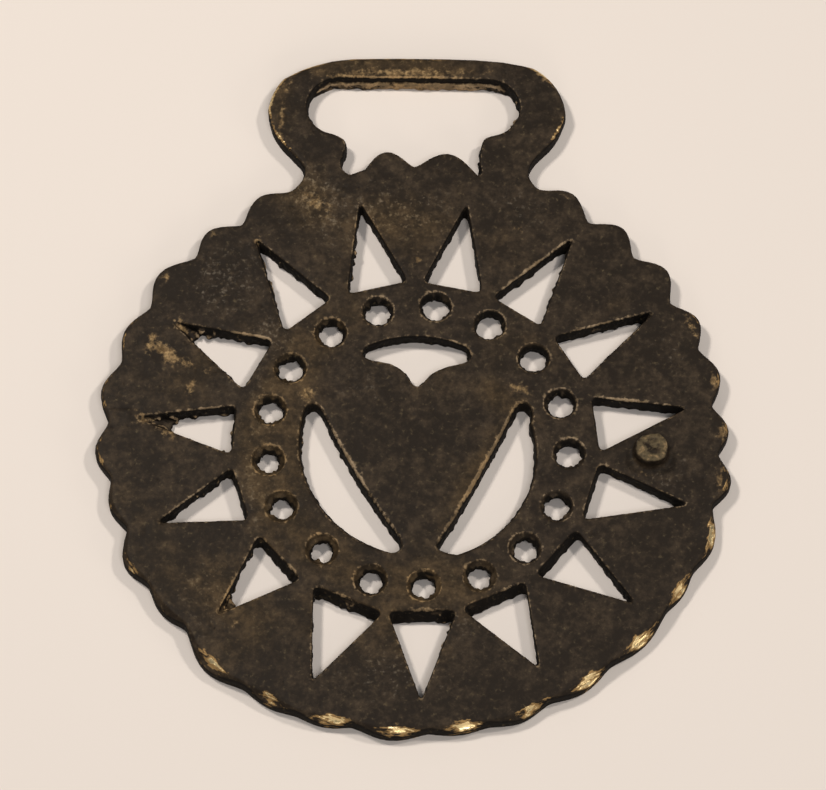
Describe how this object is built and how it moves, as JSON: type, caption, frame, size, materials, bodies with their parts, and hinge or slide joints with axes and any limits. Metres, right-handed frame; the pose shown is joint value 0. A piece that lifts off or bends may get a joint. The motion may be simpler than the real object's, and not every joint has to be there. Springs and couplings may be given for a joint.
{
  "type": "horse brass",
  "caption": "Pierced cast-brass disc with a scalloped rim, rays, a ring of holes and a heart, under a strap loop it hangs from on a horse's harness.",
  "frame": {"origin": "middle of the scalloped disc, on the flat back face", "axes": "+Z out of the front, which carries the stud, +Y towards the strap loop, +X to the right seen from the front"},
  "size_m": [0.0797, 0.0934, 0.0051],
  "materials": {
    "patinated_brass": "old cast brass, dark brown-black with handling, worn golden on its high edges"
  },
  "bodies": {
    "root": {"horse_brass": "patinated_brass"}
  },
  "joints": []
}
